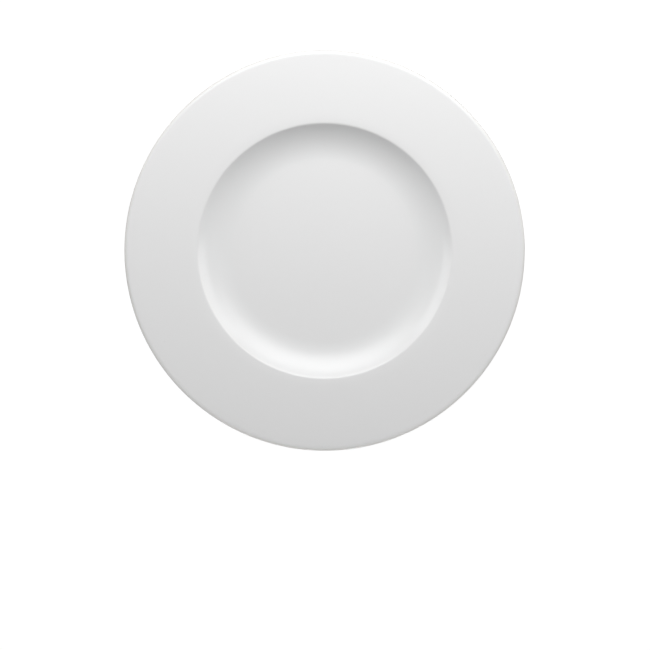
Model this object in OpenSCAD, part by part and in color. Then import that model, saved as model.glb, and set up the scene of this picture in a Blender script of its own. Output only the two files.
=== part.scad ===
// Round dinner plate of glazed white porcelain with a wide flat rim, a coved well and a conical foot ring.
// The plate lies level on its foot ring: the origin is the centre of the circle that it stands on, +Z is up.
// Every piece is one turn of a section about Z. The section is drawn at the surface of the glaze,
// and the fired body is the same section moved inwards by the thickness of the glaze.

/* [Plate] */
// Diameter over the lip
plate_d = 280; // [240:1:330]
// Height of the lip's highest line above the table
plate_h = 21; // [18:0.5:28]

/* [Rim] */
// Slope of the rim's upper side, rising outwards, in degrees
rim_slope = 2.7; // [0:0.1:8]
// Extra slope of the rim's underside, so that the rim is thickest at the well, in degrees
rim_taper = 1.3; // [0:0.1:4]
// Thickness of the rim where the rounding of the lip begins
lip_t = 3.7; // [2.6:0.1:6]
// Length of the lip's rounding, from where it begins to the very edge
lip_l = 3.3; // [2:0.1:7]

/* [Well] */
// Diameter of the well where the cove meets the rim
well_d = 178.6; // [168:0.2:205]
// Width of the cove, from the edge of the flat floor to the rim
cove_w = 25.2; // [22:0.2:32]
// Thickness of the floor, glaze included
floor_t = 4.1; // [3.2:0.1:7]
// Radius of the break between the cove and the rim
break_r = 3; // [1:0.1:8]
// Radius of the soft roll that leads from the break into the rim
roll_r = 70; // [30:1:120]
// Turn of the soft roll, in degrees
roll_turn = 4.3; // [1:0.1:8]

/* [Shoulder] */
// Wall under the edge of the floor, where the underside of the shoulder begins
heel_t = 5.3; // [4.2:0.1:6.4]
// Wall to which the shoulder narrows at the top of the cove, before the flare fills its corner
shoulder_t = 2.7; // [1.8:0.1:3.8]
// Radius of the flare from the shoulder's underside into the rim's underside
flare_r = 30.5; // [12:0.5:38]

/* [Foot ring] */
// Distance from the well's edge in to the foot ring's outer wall, measured at the table
foot_inset = 18.8; // [15.6:0.2:24]
// Width of the ring's ground face
foot_w = 3.6; // [2.6:0.1:8]
// Slope of the ring's outer wall, in degrees
foot_slope = 46.5; // [40:0.5:70]
// Radius of the hollow between the ring and the shoulder
knee_r = 10.7; // [4:0.1:14]
// Depth of the recess inside the ring
recess_h = 4.2; // [2.4:0.1:6.4]
// Slope of the ring's inner wall, in degrees
recess_slope = 60; // [40:1:80]
// Radius of the hollow between the inner wall and the underside of the floor
recess_r = 2.5; // [0.5:0.1:4]
// Radius of the ground face's two edges
foot_edge_r = 0.8; // [0.3:0.1:1.1]

/* [Glaze] */
// Thickness of the glaze
glaze_t = 0.3; // [0.15:0.05:0.6]
// Height of the bare porcelain that is left on both walls of the foot ring
bare_h = 0.8; // [0.7:0.1:1.4]

/* [Hidden] */
$fn = 180;
// Straight pieces that stand for one arc of the section
large_arc_steps = 14;
small_arc_steps = 6;
// Seam between the body and its glaze, so that neither solid cuts into the other
seam = 0.03;

// Unit vectors in the section: along a line that rises outwards at a slope, and square to it, upwards
function along(slope) = [cos(slope), sin(slope)];
function across(slope) = [-sin(slope), cos(slope)];

// Points of an arc between two slopes. A surface that faces up is above its centre with a positive radius,
// and below it with a negative one.
function arc(centre, radius, first, last, steps) =
    [for (i = [0:steps]) centre + radius * across(first + (last - first) * i / steps)];

// The point of a sloping line that lies at a distance from a centre, on its inner (-1) or outer (+1) crossing
function crossing(start, slope, centre, distance, which) =
    let (gap = start - centre)
    start + along(slope) * (which * sqrt(pow(distance, 2) - pow(gap * across(slope), 2)) - gap * along(slope));

// Slope at which two arcs touch, the first centre lying above the second
function touch_slope(upper, lower) = atan2(lower[0] - upper[0], upper[1] - lower[1]);

// Lip: half an ellipse on the mid line of the rim, begun and ended where its sides run on into the rim
under_slope = rim_slope + rim_taper;
rim_tilt = rim_slope + rim_taper / 2;
lip_half_t = lip_t / 2;
lip_centre = [
    plate_d / 2 - norm([lip_l * cos(rim_tilt), lip_half_t * sin(rim_tilt)]),
    plate_h - norm([lip_l * sin(rim_tilt), lip_half_t * cos(rim_tilt)])
];
lip_turn = 90 - atan(lip_l / lip_half_t * tan(rim_taper / 2));
function lip_point(turn, inset) =
    let (facing = [cos(turn) / lip_l, sin(turn) / lip_half_t])
    let (place = [lip_l * cos(turn), lip_half_t * sin(turn)] - inset * facing / norm(facing))
    lip_centre + place[0] * along(rim_tilt) + place[1] * across(rim_tilt);
function lip(inset) =
    [for (i = [0:large_arc_steps]) lip_point(lip_turn * (2 * i / large_arc_steps - 1), inset)];
rim_top = lip_point(lip_turn, 0);
rim_bottom = lip_point(-lip_turn, 0);

// Well: the cove is the one arc that leaves the floor level and ends in the corner with the rim
floor_z = recess_h + floor_t;
floor_edge = well_d / 2 - cove_w;
cove_h = rim_top[1] - (rim_top[0] - well_d / 2) * tan(rim_slope) - floor_z;
cove_r = (pow(cove_w, 2) + pow(cove_h, 2)) / (2 * cove_h);
cove_centre = [floor_edge, floor_z + cove_r];
cove_end = 2 * atan(cove_h / cove_w);

// Break: a tight arc that touches the cove, and the soft roll that takes it on into the rim
roll_slope = rim_slope + roll_turn;
break_centre = crossing(
    rim_top - roll_r * across(rim_slope) + (roll_r - break_r) * across(roll_slope),
    rim_slope, cove_centre, cove_r + break_r, 1);
roll_centre = break_centre - (roll_r - break_r) * across(roll_slope);
break_slope = touch_slope(cove_centre, break_centre);

// Shoulder: its underside is an arc below the cove's, with the centre brought down so that the wall narrows
shoulder_drop = (heel_t - shoulder_t) / (1 - cos(cove_end));
shoulder_r = cove_r + heel_t - shoulder_drop;
shoulder_centre = cove_centre - [0, shoulder_drop];
flare_centre = crossing(
    rim_bottom - flare_r * across(under_slope), under_slope, shoulder_centre, shoulder_r + flare_r, 1);
flare_slope = touch_slope(shoulder_centre, flare_centre);

// Foot ring: both walls run down to the table, and the ground face lies between the body's own walls
foot_edge = well_d / 2 - foot_inset;
ground_outer = foot_edge - glaze_t / sin(foot_slope);
ground_inner = ground_outer - foot_w;
recess_corner = ground_inner - glaze_t / sin(recess_slope);

// Points at the height of the bare edge, on the ring's walls moved inwards by the inset
function outer_wall_point(inset) =
    [foot_edge + bare_h / tan(foot_slope) - inset / sin(foot_slope), bare_h];
function inner_wall_point(inset) =
    [recess_corner - bare_h / tan(recess_slope) + inset / sin(recess_slope), bare_h];

// Hollow between the ring and the shoulder, limited by the height of the ring's wall over the bare edge
wall_facing = -across(foot_slope);
wall_gap = outer_wall_point(0) - shoulder_centre;
knee_r_at_bare_edge =
    (pow(norm(wall_gap), 2) - pow(shoulder_r, 2)) / (2 * (shoulder_r - wall_gap * wall_facing));
knee_fillet_r = min(knee_r, knee_r_at_bare_edge);
knee_centre = crossing(
    outer_wall_point(0) + knee_fillet_r * wall_facing,
    foot_slope, shoulder_centre, shoulder_r + knee_fillet_r, -1);
knee_slope = touch_slope(shoulder_centre, knee_centre);

// Hollow inside the ring, limited by the height of the recess over the bare edge
recess_fillet_r = min(recess_r, (recess_h - bare_h) / (1 - cos(recess_slope)));
recess_centre = [
    recess_corner - recess_fillet_r * sin(recess_slope)
        - (recess_h - recess_fillet_r + recess_fillet_r * cos(recess_slope)) / tan(recess_slope),
    recess_h - recess_fillet_r
];

// Section outside the foot ring, from the bare edge out to the lip and back over the top to the axis
function outer_section(inset) = concat(
    [outer_wall_point(inset)],
    arc(knee_centre, knee_fillet_r + inset, foot_slope, knee_slope, small_arc_steps),
    arc(shoulder_centre, inset - shoulder_r, knee_slope, flare_slope, small_arc_steps),
    arc(flare_centre, flare_r + inset, flare_slope, under_slope, large_arc_steps),
    lip(inset),
    arc(roll_centre, roll_r - inset, rim_slope, roll_slope, small_arc_steps),
    arc(break_centre, break_r - inset, roll_slope, break_slope, small_arc_steps),
    arc(cove_centre, -cove_r - inset, break_slope, 0, large_arc_steps),
    [[0, floor_z - inset]]
);

// Section inside the foot ring, from the axis to the bare edge
function recess_section(inset) = concat(
    [[0, recess_h + inset]],
    arc(recess_centre, recess_fillet_r + inset, 0, -recess_slope, small_arc_steps),
    [inner_wall_point(inset)]
);

// Ground face of the foot ring with its two softened edges
function ground_section() =
    let (inner_turn = foot_edge_r * tan(recess_slope / 2))
    let (outer_turn = foot_edge_r * tan(foot_slope / 2))
    concat(
        arc([ground_inner + inner_turn, foot_edge_r], -foot_edge_r, -recess_slope, 0, small_arc_steps),
        arc([ground_outer - outer_turn, foot_edge_r], -foot_edge_r, 0, foot_slope, small_arc_steps)
    );

// A path without the points that repeat the one before them
function tidy(path) =
    [for (i = [0:len(path) - 1]) if (i == 0 || norm(path[i] - path[max(i - 1, 0)]) > seam) path[i]];

function reversed(path) = [for (i = [len(path) - 1:-1:0]) path[i]];

module turned(path) {
    rotate_extrude()
        polygon(tidy(path));
}

// Fired body: rim, shoulder, floor and foot ring are pressed as one, and only the ring's edge stays bare
module porcelain_body() {
    color("#ece9e2")
        turned(concat(recess_section(glaze_t), ground_section(), outer_section(glaze_t)));
}

// Glaze from the bare edge up the outside of the ring, over the lip and across the whole well
module glaze_coat() {
    color("#f6f6f4")
        turned(concat(outer_section(0), reversed(outer_section(glaze_t - seam))));
}

// Glaze on the recess inside the ring, parted from the rest by the bare edge
module glaze_inside_foot() {
    color("#f1f1ee")
        turned(concat(recess_section(0), reversed(recess_section(glaze_t - seam))));
}

porcelain_body();
glaze_coat();
glaze_inside_foot();
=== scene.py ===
"""Looks of a round dinner plate of glazed white porcelain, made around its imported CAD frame."""
import math

import bpy
import numpy as np
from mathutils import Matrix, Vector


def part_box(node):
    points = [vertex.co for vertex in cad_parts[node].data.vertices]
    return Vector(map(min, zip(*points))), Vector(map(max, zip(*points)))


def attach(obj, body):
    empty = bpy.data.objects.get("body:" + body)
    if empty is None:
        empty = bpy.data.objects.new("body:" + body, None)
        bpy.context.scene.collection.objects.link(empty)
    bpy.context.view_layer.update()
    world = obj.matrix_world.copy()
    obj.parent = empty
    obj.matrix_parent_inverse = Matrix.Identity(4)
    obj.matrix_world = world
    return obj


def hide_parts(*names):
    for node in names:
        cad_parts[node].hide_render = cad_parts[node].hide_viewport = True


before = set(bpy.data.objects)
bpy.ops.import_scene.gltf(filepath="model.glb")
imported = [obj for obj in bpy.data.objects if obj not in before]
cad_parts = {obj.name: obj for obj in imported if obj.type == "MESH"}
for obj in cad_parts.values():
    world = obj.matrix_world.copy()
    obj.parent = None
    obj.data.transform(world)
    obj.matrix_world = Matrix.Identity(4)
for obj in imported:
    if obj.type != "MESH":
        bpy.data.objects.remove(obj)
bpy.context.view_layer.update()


# Fired body
# The plate itself: rim, shoulder, well floor and foot ring, pressed from one blank of white porcelain clay
# and fired hard. The glaze hides all of it but the edge of the foot ring, which is ground flat and bare.

# The section, in metres from the axis and from the table, taken at the surface of the glaze
coat_low, coat_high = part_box("glaze_coat")
plate_r = (coat_high.x - coat_low.x) / 2
plate_h = coat_high.z
rim_slope = math.radians(2.7)
rim_taper = math.radians(1.3)
lip_half_t = 0.00185
lip_l = 0.0033
well_r = 0.0893
cove_w = 0.0252
floor_t = 0.0041
break_r = 0.003
roll_r = 0.07
roll_turn = math.radians(4.3)
heel_t = 0.0053
shoulder_t = 0.0027
flare_r = 0.0305
foot_inset = 0.0188
foot_w = 0.0036
foot_slope = math.radians(46.5)
knee_r = 0.0107
recess_h = 0.0042
recess_slope = math.radians(60)
recess_r = 0.0025
foot_edge_r = 0.0008
glaze_t = 0.0003
seam = 0.00003
bare_h = 0.0008

# Fineness of the meshes: straight pieces in a large and in a small arc, where it shows and where the glaze
# hides it, the longest piece of a hidden straight line, and the steps round the axis
shown_steps = (28, 12)
hidden_steps = (14, 6)
hidden_piece = 0.01
turn_steps = 288


def along(slope):
    """One step along a line that rises outwards at a slope."""
    return np.array([math.cos(slope), math.sin(slope)])


def across(slope):
    """One step square to that line, upwards."""
    return np.array([-math.sin(slope), math.cos(slope)])


def arc(centre, radius, first, last, steps):
    """Points of an arc between two slopes, above its centre or, with a negative radius, below it."""
    return [centre + radius * across(first + (last - first) * i / steps) for i in range(steps + 1)]


def crossing(start, slope, centre, distance, which):
    """The point of a sloping line at a distance from a centre, on its inner (-1) or outer (+1) crossing."""
    gap = start - centre
    reach = math.sqrt(distance**2 - (gap @ across(slope)) ** 2)
    return start + along(slope) * (which * reach - gap @ along(slope))


def touch_slope(upper, lower):
    """The slope at which two arcs touch, the first centre lying above the second."""
    return math.atan2(lower[0] - upper[0], upper[1] - lower[1])


# Lip: half an ellipse on the rim's mid line
under_slope = rim_slope + rim_taper
rim_tilt = rim_slope + rim_taper / 2
lip_centre = np.array([
    plate_r - math.hypot(lip_l * math.cos(rim_tilt), lip_half_t * math.sin(rim_tilt)),
    plate_h - math.hypot(lip_l * math.sin(rim_tilt), lip_half_t * math.cos(rim_tilt)),
])
lip_turn = math.pi / 2 - math.atan(lip_l / lip_half_t * math.tan(rim_taper / 2))


def lip_point(turn, inset):
    """A point of the ellipse, at a turn up or down from its tip, moved inwards by the inset."""
    facing = np.array([math.cos(turn) / lip_l, math.sin(turn) / lip_half_t])
    place = np.array([lip_l * math.cos(turn), lip_half_t * math.sin(turn)])
    place = place - inset * facing / np.linalg.norm(facing)
    return lip_centre + place[0] * along(rim_tilt) + place[1] * across(rim_tilt)


def lip(inset, steps):
    """The lip's edge, from the rim's underside round the tip to its upper side."""
    return [lip_point(lip_turn * (2 * i / steps - 1), inset) for i in range(steps + 1)]


rim_top = lip_point(lip_turn, 0)
rim_bottom = lip_point(-lip_turn, 0)

# Well: a cove that leaves the floor level, a tight break at the rim and a soft roll out of it
floor_z = recess_h + floor_t
floor_edge = well_r - cove_w
cove_h = rim_top[1] - (rim_top[0] - well_r) * math.tan(rim_slope) - floor_z
cove_r = (cove_w**2 + cove_h**2) / (2 * cove_h)
cove_centre = np.array([floor_edge, floor_z + cove_r])
cove_end = 2 * math.atan(cove_h / cove_w)
roll_slope = rim_slope + roll_turn
roll_to_break = (roll_r - break_r) * across(roll_slope)
break_centre = crossing(
    rim_top - roll_r * across(rim_slope) + roll_to_break, rim_slope, cove_centre, cove_r + break_r, 1)
roll_centre = break_centre - roll_to_break
break_slope = touch_slope(cove_centre, break_centre)

# Shoulder under the cove, and the flare that takes it into the rim's underside
shoulder_drop = (heel_t - shoulder_t) / (1 - math.cos(cove_end))
shoulder_r = cove_r + heel_t - shoulder_drop
shoulder_centre = cove_centre - [0, shoulder_drop]
flare_centre = crossing(
    rim_bottom - flare_r * across(under_slope), under_slope, shoulder_centre, shoulder_r + flare_r, 1)
flare_slope = touch_slope(shoulder_centre, flare_centre)

# Foot ring: two walls, the ground face between them, and the hollow between ring and shoulder
foot_edge = well_r - foot_inset
ground_outer = foot_edge - glaze_t / math.sin(foot_slope)
ground_inner = ground_outer - foot_w
recess_corner = ground_inner - glaze_t / math.sin(recess_slope)


def outer_wall_point(inset):
    """Where the glaze ends on the outside of the foot ring, moved into the ring by the inset."""
    glazed_radius = foot_edge + bare_h / math.tan(foot_slope)
    return np.array([glazed_radius - inset / math.sin(foot_slope), bare_h])


def inner_wall_point(inset):
    """Where the glaze ends on the inside of the foot ring, moved into the ring by the inset."""
    glazed_radius = recess_corner - bare_h / math.tan(recess_slope)
    return np.array([glazed_radius + inset / math.sin(recess_slope), bare_h])


wall_facing = -across(foot_slope)
knee_centre = crossing(
    outer_wall_point(0) + knee_r * wall_facing, foot_slope, shoulder_centre, shoulder_r + knee_r, -1)
knee_slope = touch_slope(shoulder_centre, knee_centre)
recess_fillet_r = min(recess_r, (recess_h - bare_h) / (1 - math.cos(recess_slope)))
recess_rise = recess_h - recess_fillet_r + recess_fillet_r * math.cos(recess_slope)
recess_centre = np.array([
    recess_corner - recess_fillet_r * math.sin(recess_slope) - recess_rise / math.tan(recess_slope),
    recess_h - recess_fillet_r,
])


def outer_section(inset, steps):
    """From the bare edge out to the lip, and back over the top to the axis, moved inwards by the inset."""
    large, small = steps
    return [
        outer_wall_point(inset),
        *arc(knee_centre, knee_r + inset, foot_slope, knee_slope, small),
        *arc(shoulder_centre, inset - shoulder_r, knee_slope, flare_slope, small),
        *arc(flare_centre, flare_r + inset, flare_slope, under_slope, large),
        *lip(inset, large),
        *arc(roll_centre, roll_r - inset, rim_slope, roll_slope, small),
        *arc(break_centre, break_r - inset, roll_slope, break_slope, small),
        *arc(cove_centre, -cove_r - inset, break_slope, 0, large),
        np.array([0, floor_z - inset]),
    ]


def recess_section(inset, steps):
    """From the axis out to the bare edge inside the foot ring, moved inwards by the inset."""
    small = steps[1]
    return [
        np.array([0, recess_h + inset]),
        *arc(recess_centre, recess_fillet_r + inset, 0, -recess_slope, small),
        inner_wall_point(inset),
    ]


def ground_section(steps):
    """The ground face of the foot ring, with its two softened edges."""
    small = steps[1]
    inner_turn = foot_edge_r * math.tan(recess_slope / 2)
    outer_turn = foot_edge_r * math.tan(foot_slope / 2)
    return [
        *arc(np.array([ground_inner + inner_turn, foot_edge_r]), -foot_edge_r, -recess_slope, 0, small),
        *arc(np.array([ground_outer - outer_turn, foot_edge_r]), -foot_edge_r, 0, foot_slope, small),
    ]


def filled(path, longest):
    """The path with its long straight pieces cut up, and without points that repeat the one before."""
    full = [path[0]]
    for point in path[1:]:
        length = np.linalg.norm(point - full[-1])
        if length > seam:
            pieces = math.ceil(length / longest)
            start = full[-1]
            full += [start + (point - start) * (i + 1) / pieces for i in range(pieces)]
    return np.array(full)


angles = np.linspace(0, 2 * math.pi, turn_steps, endpoint=False)


def swept(path):
    """Radius and height of every point of a section at every angle."""
    return np.repeat(path[:, :1], turn_steps, axis=1), np.repeat(path[:, 1:], turn_steps, axis=1)


# What the kiln did to the round: the rim has sunk a little on two sides, leans, and is not a true circle
saddle_drop = 0.00014
saddle_angle = math.radians(35)
lean_drop = 0.00008
lean_angle = math.radians(60)
oval_inset = 0.0001
oval_angle = math.radians(110)


def kiln_warped(radius, height):
    """Radius and height of every point at every angle, as the kiln left them."""
    rim_share = np.clip((radius - foot_edge) / (plate_r - foot_edge), 0, 1) ** 2
    saddle = saddle_drop * (1 - np.cos(2 * (angles - saddle_angle))) / 2
    lean = lean_drop * (1 - np.cos(angles - lean_angle)) / 2
    oval = oval_inset * (1 - np.cos(2 * (angles - oval_angle))) / 2
    return radius * (1 - oval / plate_r), height - rim_share * (saddle + lean)


def turned(name, radius, height):
    """Closed mesh of a section, given at every angle from its lower to its upper point on the axis."""
    ring_count = len(radius) - 2
    points = [(0, 0, height[0].mean())]
    for ring in range(1, ring_count + 1):
        points += zip(radius[ring] * np.cos(angles), radius[ring] * np.sin(angles), height[ring])
    points.append((0, 0, height[-1].mean()))
    last = len(points) - 1
    faces = []
    for step in range(turn_steps):
        after = (step + 1) % turn_steps
        faces.append((0, 1 + after, 1 + step))
        for ring in range(ring_count - 1):
            near = 1 + ring * turn_steps
            far = near + turn_steps
            faces.append((near + step, near + after, far + after, far + step))
        edge = last - turn_steps
        faces.append((edge + step, edge + after, last))
    mesh = bpy.data.meshes.new(name)
    mesh.from_pydata(points, [], faces)
    mesh.shade_smooth()
    piece = bpy.data.objects.new(name, mesh)
    bpy.context.scene.collection.objects.link(piece)
    return piece


body_path = filled([
    *recess_section(glaze_t, hidden_steps),
    *ground_section(shown_steps),
    *outer_section(glaze_t, hidden_steps),
], hidden_piece)
fired_body = turned("fired_body", *kiln_warped(*swept(body_path)))


def add(tree, kind, inputs=None, **settings):
    """A shader node with its settings, its inputs set to values or linked to other nodes' outputs."""
    made = tree.nodes.new(kind)
    for name, value in settings.items():
        setattr(made, name, value)
    for name, value in (inputs or {}).items():
        if isinstance(value, bpy.types.NodeSocket):
            tree.links.new(value, made.inputs[name])
        else:
            made.inputs[name].default_value = value
    return made


def ramp(tree, value, start, end, low=0, high=1, **settings):
    """A value that runs from low to high while the given one runs from start to end."""
    ends = {"Value": value, "From Min": start, "From Max": end, "To Min": low, "To Max": high}
    return add(tree, "ShaderNodeMapRange", ends, **settings).outputs["Result"]


def mixed(tree, share, first, second):
    """A colour on the way from a first one to a second one."""
    colours = {"Factor": share, "A": first, "B": second}
    return add(tree, "ShaderNodeMix", colours, data_type="RGBA").outputs["Result"]


def relief_normal(tree, height, depth):
    """The surface's direction on a fine relief of the given depth in metres."""
    return add(tree, "ShaderNodeBump", {"Height": height, "Distance": depth, "Strength": 1}).outputs["Normal"]


def effect(name, inputs, outputs):
    """An empty effect with number sockets: its tree, what it is given, and where its results go."""
    tree = bpy.data.node_groups.new(name, "ShaderNodeTree")
    for label, value in inputs.items():
        socket = tree.interface.new_socket(label, in_out="INPUT", socket_type="NodeSocketFloat")
        socket.default_value = value
    for label in outputs:
        tree.interface.new_socket(label, in_out="OUTPUT", socket_type="NodeSocketFloat")
    return tree, tree.nodes.new("NodeGroupInput").outputs, tree.nodes.new("NodeGroupOutput").inputs


def material(name):
    """A new material with its node tree and its shader."""
    made = bpy.data.materials.new(name)
    made.use_nodes = True
    return made, made.node_tree, made.node_tree.nodes["Principled BSDF"]


# Fine grain: relief as coarse as the given size, and wide soft patches
fine_grain, given, results = effect(
    "fine_grain", {"Size": 0.001, "Detail": 3, "Patch": 0.03}, ["Height", "Patches"])
place = add(fine_grain, "ShaderNodeTexCoord").outputs["Object"]
grain_scale = add(fine_grain, "ShaderNodeMath", {0: 1, 1: given["Size"]}, operation="DIVIDE").outputs[0]
patch_scale = add(fine_grain, "ShaderNodeMath", {0: 1, 1: given["Patch"]}, operation="DIVIDE").outputs[0]
grain = add(fine_grain, "ShaderNodeTexNoise", {
    "Vector": place, "Scale": grain_scale, "Detail": given["Detail"],
})
patches = add(fine_grain, "ShaderNodeTexNoise", {"Vector": place, "Scale": patch_scale, "Detail": 2})
fine_grain.links.new(grain.outputs["Fac"], results["Height"])
fine_grain.links.new(patches.outputs["Fac"], results["Patches"])

# Ring marks: fine circles about the axis, left by the forming tool or by the grinding wheel
ring_marks, given, results = effect("ring_marks", {"Spacing": 0.001, "Wander": 1}, ["Height"])
place = add(ring_marks, "ShaderNodeTexCoord").outputs["Object"]
plan = add(ring_marks, "ShaderNodeVectorMath", {
    0: place, 1: (1, 1, 0),
}, operation="MULTIPLY").outputs["Vector"]
distance = add(ring_marks, "ShaderNodeVectorMath", {0: plan}, operation="LENGTH").outputs["Value"]
count = add(ring_marks, "ShaderNodeMath", {0: distance, 1: given["Spacing"]}, operation="DIVIDE").outputs[0]
drift = add(ring_marks, "ShaderNodeTexNoise", {"Vector": place, "Scale": 25, "Detail": 1}).outputs["Fac"]
line = add(ring_marks, "ShaderNodeMath", {
    0: drift, 1: given["Wander"], 2: count,
}, operation="MULTIPLY_ADD").outputs[0]
rings = add(ring_marks, "ShaderNodeTexNoise", {"W": line, "Scale": 1, "Detail": 2}, noise_dimensions="1D")
ring_marks.links.new(rings.outputs["Fac"], results["Height"])

# Bare porcelain: dry to the touch, a warmer white than the glaze, with the wheel's circles in its ground
# face and a faint tan flush where the glaze ends
bare_porcelain, tree, shader = material("bare_porcelain")
clay = add(tree, "ShaderNodeGroup", {"Size": 0.0003, "Detail": 4, "Patch": 0.006}, node_tree=fine_grain)
grinding = add(tree, "ShaderNodeGroup", {"Spacing": 0.00025, "Wander": 2}, node_tree=ring_marks)
clay_tone = mixed(tree, clay.outputs["Patches"], (0.74, 0.72, 0.68, 1), (0.85, 0.835, 0.8, 1))
place = add(tree, "ShaderNodeTexCoord").outputs["Object"]
height = add(tree, "ShaderNodeSeparateXYZ", {"Vector": place}).outputs["Z"]
flush = ramp(tree, height, bare_h / 2, bare_h + glaze_t, 0, 0.4)
flushed = mixed(tree, flush, clay_tone, (0.7, 0.58, 0.44, 1))
wear = add(tree, "ShaderNodeMath", {
    0: clay.outputs["Height"], 1: grinding.outputs["Height"],
}, operation="ADD").outputs[0]
relief = relief_normal(tree, wear, 0.00003)
dryness = ramp(tree, grinding.outputs["Height"], 0, 1, 0.62, 0.9)
tree.links.new(flushed, shader.inputs["Base Color"])
tree.links.new(dryness, shader.inputs["Roughness"])
tree.links.new(relief, shader.inputs["Normal"])
fired_body.data.materials.append(bare_porcelain)

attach(fired_body, "root")
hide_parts("porcelain_body")


# Glaze coat
# A skin of white glaze, a third of a millimetre thick, poured over the body and fused to it in the kiln. It
# runs from the bare edge up the foot ring, over the lip and across the well, and ends in a wavy bead.

# Longest straight pieces of the mesh, in the open and near the bead, and the steps round the bead's nose
shown_piece = 0.0025
bead_piece = 0.0003
bead_steps = 8

# How far up the bead reaches, its swell, and how its edge wanders: how many waves run round the plate in each
# of its lobes, and where they begin
bead_reach = 0.0018
bead_swell = 0.00007
bead_wave = 0.00014
bead_lobes = [(3, 0.4), (7, 2.1), (12, 5.2), (19, 1.3), (31, 3.3)]

# How uneven melted glaze lies, the faint circles of the forming tool, and how glaze flows off an edge
glaze_wave = 0.000016
glaze_wave_lengths = np.linspace(0.018, 0.045, 22)
forming_wave = 0.000005
forming_length = 0.013
flow_reach = 0.0012
flow_r = 0.005


def closed(first, second, down):
    """One section of two surfaces, joined at the bare edge by a round nose that points down its wall."""
    middle = (first[-1] + second[0]) / 2
    half = (second[0] - first[-1]) / 2
    half = half - (half @ down) * down
    radius = np.linalg.norm(half)
    turns = [math.pi * i / bead_steps for i in range(bead_steps + 1)]
    nose = [middle - radius * down - math.cos(t) * half + math.sin(t) * radius * down for t in turns]
    return np.concatenate([first[:-1], nose, second[1:]]), nose[bead_steps // 2]


def rippled(radius, seed):
    """A smooth random height of about 1 over the plan, from waves that run in all directions."""
    chance = np.random.default_rng(seed)
    x, y = radius * np.cos(angles), radius * np.sin(angles)
    total = 0
    for length in glaze_wave_lengths:
        heading, phase = chance.uniform(0, 2 * math.pi, 2)
        total = total + np.sin(2 * math.pi * (x * math.cos(heading) + y * math.sin(heading)) / length + phase)
    return total / math.sqrt(len(glaze_wave_lengths))


def glazed(path, outside, nose, down, seed):
    """Radius and height of a glaze skin at every angle, with the swell and the unevenness of melted glaze."""
    radius, height = swept(path)
    from_nose = np.linalg.norm(path - nose, axis=1)[:, None]
    near = np.clip(1 - from_nose / bead_reach, 0, 1) ** 2
    swell = bead_swell * near * np.clip(from_nose / glaze_t - 1, 0, 1)
    forming = forming_wave * np.sin(2 * math.pi * radius / forming_length)
    waves = glaze_wave * rippled(radius, seed) + forming
    lift = (swell + (waves - waves.max()) * (1 - near)) * outside[:, None]
    way = np.gradient(path, axis=0)
    way = way / np.linalg.norm(way, axis=1, keepdims=True)
    lobed = sum(np.sin(count * angles + phase) for count, phase in bead_lobes)
    slide = near * bead_wave * lobed / len(bead_lobes)
    return radius + lift * way[:, 1:] + slide * down[0], height - lift * way[:, :1] + slide * down[1]


def gathered(path):
    """How melted glaze gathers along a section: up to 1 in a tight hollow, down to -1 on a tight edge."""
    way = np.gradient(path, axis=0)
    length = np.linalg.norm(way, axis=1)
    at = np.cumsum(length)
    turn = np.gradient(np.unwrap(np.arctan2(way[:, 1], way[:, 0])))
    weight = np.exp(-(((at[:, None] - at) / flow_reach) ** 2))
    return -np.tanh(flow_r * (weight @ turn) / (weight @ length))


def mark_depth(piece, path):
    """Writes how the glaze gathers into the mesh, for the material to read."""
    depth = gathered(path)
    values = np.concatenate([depth[:1], np.repeat(depth[1:-1], turn_steps), depth[-1:]])
    attribute = piece.data.attributes.new("glaze_depth", "FLOAT", "POINT")
    attribute.data.foreach_set("value", values.astype(np.float32))


coat_section = outer_section(0, shown_steps)
coat_outer = np.concatenate([filled(coat_section[:2], bead_piece), filled(coat_section[1:], shown_piece)[1:]])
coat_inner = filled(outer_section(glaze_t - seam, hidden_steps)[::-1], hidden_piece)
down_outer_wall = -along(foot_slope)
coat_path, coat_nose = closed(coat_inner, coat_outer, down_outer_wall)
coat_outside = np.arange(len(coat_path)) >= len(coat_inner)
coat_places = glazed(coat_path, coat_outside, coat_nose, down_outer_wall, seed=11)
glaze_coat_skin = turned("glaze_coat_skin", *kiln_warped(*coat_places))
mark_depth(glaze_coat_skin, coat_path)

# Specks: small round flecks or pinholes, one at most in each square of the given spacing
specks, given, results = effect("specks", {"Spacing": 0.01, "Size": 0.0002, "Share": 0.1}, ["Mask"])
place = add(specks, "ShaderNodeTexCoord").outputs["Object"]
speck_scale = add(specks, "ShaderNodeMath", {0: 1, 1: given["Spacing"]}, operation="DIVIDE").outputs[0]
cells = add(specks, "ShaderNodeTexVoronoi", {"Vector": place, "Scale": speck_scale}, voronoi_dimensions="2D")
off_centre = add(specks, "ShaderNodeMath", {
    0: cells.outputs["Distance"], 1: given["Spacing"],
}, operation="MULTIPLY").outputs[0]
soft = ramp(specks, off_centre, given["Size"], 0)
chance = add(specks, "ShaderNodeSeparateColor", {"Color": cells.outputs["Color"]}).outputs["Red"]
chosen = add(specks, "ShaderNodeMath", {0: chance, 1: given["Share"]}, operation="LESS_THAN").outputs[0]
speck = add(specks, "ShaderNodeMath", {0: soft, 1: chosen}, operation="MULTIPLY").outputs[0]
specks.links.new(speck, results["Mask"])

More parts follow.
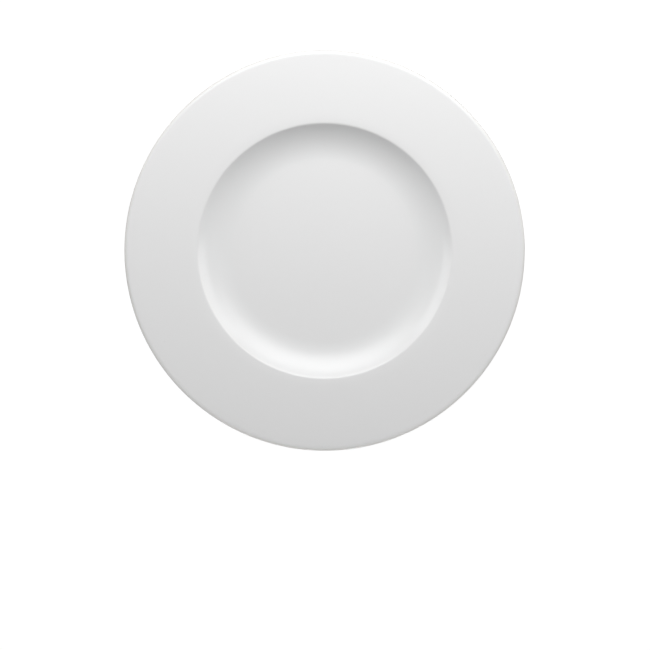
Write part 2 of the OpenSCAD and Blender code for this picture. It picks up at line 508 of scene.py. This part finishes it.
# White glaze: glossy and even, a trace darker and warmer where it is thin on the lip and cooler where it
# gathers, with the orange-peel ripple and the forming circles that show only in a reflection
white_glaze, tree, shader = material("white_glaze")
shader.inputs["IOR"].default_value = 1.5
depth = add(tree, "ShaderNodeAttribute", attribute_name="glaze_depth").outputs["Fac"]
peel = add(tree, "ShaderNodeGroup", {"Size": 0.0035, "Detail": 1, "Patch": 0.04}, node_tree=fine_grain)
forming = add(tree, "ShaderNodeGroup", {"Spacing": 0.0025}, node_tree=ring_marks)
flecks = add(tree, "ShaderNodeGroup", {"Spacing": 0.014, "Size": 0.00022, "Share": 0.1}, node_tree=specks)
thin_tone = mixed(tree, ramp(tree, depth, -1, -0.85), (0.83, 0.82, 0.8, 1), (0.9, 0.9, 0.9, 1))
deep_tone = mixed(tree, ramp(tree, depth, 0, 1), thin_tone, (0.86, 0.88, 0.88, 1))
flecked = mixed(tree, flecks.outputs["Mask"], deep_tone, (0.6, 0.57, 0.52, 1))
gloss = ramp(tree, peel.outputs["Patches"], 0.3, 0.7, 0.07, 0.1)
edge_gloss = ramp(tree, depth, -1, -0.3, 0.05, 0)
rubbed = add(tree, "ShaderNodeMath", {0: gloss, 1: edge_gloss}, operation="ADD").outputs[0]
ripple = add(tree, "ShaderNodeMath", {
    0: forming.outputs["Height"], 1: 0.4, 2: peel.outputs["Height"],
}, operation="MULTIPLY_ADD").outputs[0]
relief = relief_normal(tree, ripple, 0.000006)
tree.links.new(flecked, shader.inputs["Base Color"])
tree.links.new(rubbed, shader.inputs["Roughness"])
tree.links.new(relief, shader.inputs["Normal"])
glaze_coat_skin.data.materials.append(white_glaze)

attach(glaze_coat_skin, "root")
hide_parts("glaze_coat")


# Glaze in the recess
# The same glaze on the underside within the foot ring, parted from the coat by the bare edge. It runs thinner
# and more rippled there, with pinholes, because the plate is fired standing and that side isn't polished.

recess_points = recess_section(0, shown_steps)
recess_outer = np.concatenate([
    filled(recess_points[:-1], shown_piece),
    filled(recess_points[-2:], bead_piece)[1:],
])
recess_inner = filled(recess_section(glaze_t - seam, hidden_steps)[::-1], hidden_piece)
down_inner_wall = along(-recess_slope)
recess_path, recess_nose = closed(recess_outer, recess_inner, down_inner_wall)
recess_outside = np.arange(len(recess_path)) < len(recess_outer) + bead_steps
recess_places = glazed(recess_path, recess_outside, recess_nose, down_inner_wall, seed=23)
recess_glaze_skin = turned("recess_glaze_skin", *kiln_warped(*recess_places))
mark_depth(recess_glaze_skin, recess_path)

recess_glaze, tree, shader = material("recess_glaze")
shader.inputs["IOR"].default_value = 1.5
depth = add(tree, "ShaderNodeAttribute", attribute_name="glaze_depth").outputs["Fac"]
peel = add(tree, "ShaderNodeGroup", {"Size": 0.0025, "Detail": 2, "Patch": 0.02}, node_tree=fine_grain)
forming = add(tree, "ShaderNodeGroup", {"Spacing": 0.0018, "Wander": 1.5}, node_tree=ring_marks)
pinholes = add(tree, "ShaderNodeGroup", {"Spacing": 0.009, "Size": 0.00025, "Share": 0.15}, node_tree=specks)
toned = mixed(tree, ramp(tree, depth, -1, 1), (0.88, 0.865, 0.835, 1), (0.83, 0.845, 0.84, 1))
holed = mixed(tree, pinholes.outputs["Mask"], toned, (0.55, 0.52, 0.47, 1))
gloss = ramp(tree, peel.outputs["Patches"], 0.3, 0.7, 0.1, 0.2)
ripple = add(tree, "ShaderNodeMath", {
    0: forming.outputs["Height"], 1: 0.8, 2: peel.outputs["Height"],
}, operation="MULTIPLY_ADD").outputs[0]
relief = relief_normal(tree, ripple, 0.000014)
tree.links.new(holed, shader.inputs["Base Color"])
tree.links.new(gloss, shader.inputs["Roughness"])
tree.links.new(relief, shader.inputs["Normal"])
recess_glaze_skin.data.materials.append(recess_glaze)

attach(recess_glaze_skin, "root")
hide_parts("glaze_inside_foot")


# Floor
# A studio table of milky acrylic with a round light under the plate, so that the underside is lit too. The
# camera sees the table pure white, as in a cut-out picture, with only a faint shade where the foot ring
# stands, and sees through it from beneath, so that the plate's underside shows.

floor_r = 3
floor_sides = 96
floor_gap = 0.0001
glow_r = 0.115
glow_end_r = 0.15
glow = 0.6
outer_glow = 0.08
bpy.ops.mesh.primitive_circle_add(
    vertices=floor_sides, radius=floor_r, fill_type="NGON", location=(0, 0, -floor_gap))
studio_floor = bpy.context.object
studio_floor.name = "studio_floor"
pale_floor, tree, lit_from_within = material("pale_floor")
lit_from_within.inputs["Base Color"].default_value = (0.3, 0.3, 0.3, 1)
lit_from_within.inputs["Roughness"].default_value = 1
lit_from_within.inputs["Specular IOR Level"].default_value = 0
lit_from_within.inputs["Emission Color"].default_value = (1, 1, 1, 1)
place = add(tree, "ShaderNodeTexCoord").outputs["Object"]
distance = add(tree, "ShaderNodeVectorMath", {0: place}, operation="LENGTH").outputs["Value"]
glow_there = ramp(
    tree, distance, glow_r, glow_end_r, glow, outer_glow, interpolation_type="SMOOTHSTEP")
tree.links.new(glow_there, lit_from_within.inputs["Emission Strength"])
seen = add(tree, "ShaderNodeBsdfPrincipled", {
    "Base Color": (0.1, 0.1, 0.1, 1), "Roughness": 1, "Specular IOR Level": 0,
    "Emission Color": (1, 1, 1, 1), "Emission Strength": 0.97,
})
camera_ray = add(tree, "ShaderNodeLightPath").outputs["Is Camera Ray"]
upper_side = add(tree, "ShaderNodeMixShader", {
    0: camera_ray, 1: lit_from_within.outputs[0], 2: seen.outputs[0],
}).outputs[0]
from_below = add(tree, "ShaderNodeNewGeometry").outputs["Backfacing"]
clear = add(tree, "ShaderNodeBsdfTransparent").outputs[0]
surface = add(tree, "ShaderNodeMixShader", {0: from_below, 1: upper_side, 2: clear}).outputs[0]
tree.links.new(surface, tree.nodes["Material Output"].inputs["Surface"])
studio_floor.data.materials.append(pale_floor)


# Light
# A wide soft box close behind the plate, a low one at either side, a long narrow strip in front at the height
# of the table, and the even light of a white room from all round. The boxes are brightest in the middle and
# fade out towards their edges, as cloth-fronted ones do.

key_azimuth = math.radians(7)
key_elevation = math.radians(45)
key_distance = 0.6
key_w = 1.4
key_h = 0.8
key_fade_share = 0.9
key_radiance = 3.15
side_azimuth = math.radians(68)
side_elevation = math.radians(20)
side_distance = 1.3
side_w = 1.33
side_h = 0.67
side_fade_share = 0.5
side_radiance = 1.65
strip_elevation = math.radians(0.9)
strip_distance = 1.9
strip_w = 3
strip_h = 0.05
strip_fade_share = 0.5
strip_radiance = 66
room_light = 0.28


def softbox(name, azimuth, elevation, distance, width, height, fade_share, radiance):
    """A box of light that faces the plate's middle, at an azimuth measured from +Y towards +X."""
    lamp = bpy.data.lights.new(name, "AREA")
    lamp.shape = "RECTANGLE"
    lamp.size = width
    lamp.size_y = height
    lamp.energy = math.pi * width * height * radiance
    lamp.use_nodes = True
    tree = lamp.node_tree
    place = add(tree, "ShaderNodeNewGeometry").outputs["Parametric"]
    along_sides = add(tree, "ShaderNodeSeparateXYZ", {"Vector": place}).outputs
    share = 1
    for side in ("X", "Y"):
        past = add(tree, "ShaderNodeMath", {0: along_sides[side], 1: 0.5}, operation="SUBTRACT").outputs[0]
        off_middle = add(tree, "ShaderNodeMath", {0: past}, operation="ABSOLUTE").outputs[0]
        fade = ramp(tree, off_middle, 0.5, 0.5 - fade_share / 2, interpolation_type="SMOOTHSTEP")
        share = add(tree, "ShaderNodeMath", {0: fade, 1: share}, operation="MULTIPLY").outputs[0]
    tree.links.new(share, tree.nodes["Emission"].inputs["Strength"])
    box = bpy.data.objects.new(name, lamp)
    bpy.context.scene.collection.objects.link(box)
    box.location = (
        distance * math.cos(elevation) * math.sin(azimuth),
        distance * math.cos(elevation) * math.cos(azimuth),
        distance * math.sin(elevation),
    )
    box.rotation_euler = (math.pi / 2 - elevation, 0, math.pi - azimuth)
    box.visible_camera = False


softbox("key_softbox", key_azimuth, key_elevation, key_distance, key_w, key_h, key_fade_share, key_radiance)
for name, azimuth in (("right_softbox", side_azimuth), ("left_softbox", -side_azimuth)):
    softbox(name, azimuth, side_elevation, side_distance, side_w, side_h, side_fade_share, side_radiance)
softbox(
    "front_strip", math.pi, strip_elevation, strip_distance,
    strip_w, strip_h, strip_fade_share, strip_radiance,
)

world = bpy.data.worlds.new("white_room")
world.use_nodes = True
bpy.context.scene.world = world
tree = world.node_tree
walls = tree.nodes["Background"]
walls.inputs["Color"].default_value = (1, 1, 1, 1)
walls.inputs["Strength"].default_value = room_light
backdrop = add(tree, "ShaderNodeBackground", {"Color": (1, 1, 1, 1), "Strength": 1})
camera_ray = add(tree, "ShaderNodeLightPath").outputs["Is Camera Ray"]
room = add(tree, "ShaderNodeMixShader", {0: camera_ray, 1: walls.outputs[0], 2: backdrop.outputs[0]})
tree.links.new(room.outputs[0], tree.nodes["World Output"].inputs["Surface"])
bpy.context.scene.view_settings.view_transform = "Standard"


# Camera
# Straight above the rim's plane, with the plate in the upper part of the picture.

picture_px = 650
plate_px = 400.7
plate_at_px = (324.6, 250.5)
camera_rise = 2.0
sensor_mm = 36
metres_per_px = 2 * plate_r / plate_px
camera = bpy.data.cameras.new("camera")
camera.sensor_width = sensor_mm
camera.lens = sensor_mm * camera_rise / (picture_px * metres_per_px)
camera.clip_end = 20
camera_object = bpy.data.objects.new("camera", camera)
bpy.context.scene.collection.objects.link(camera_object)
camera_object.location = (
    (picture_px / 2 - plate_at_px[0]) * metres_per_px,
    (plate_at_px[1] - picture_px / 2) * metres_per_px,
    camera_rise + plate_h - lip_half_t,
)
bpy.context.scene.camera = camera_object
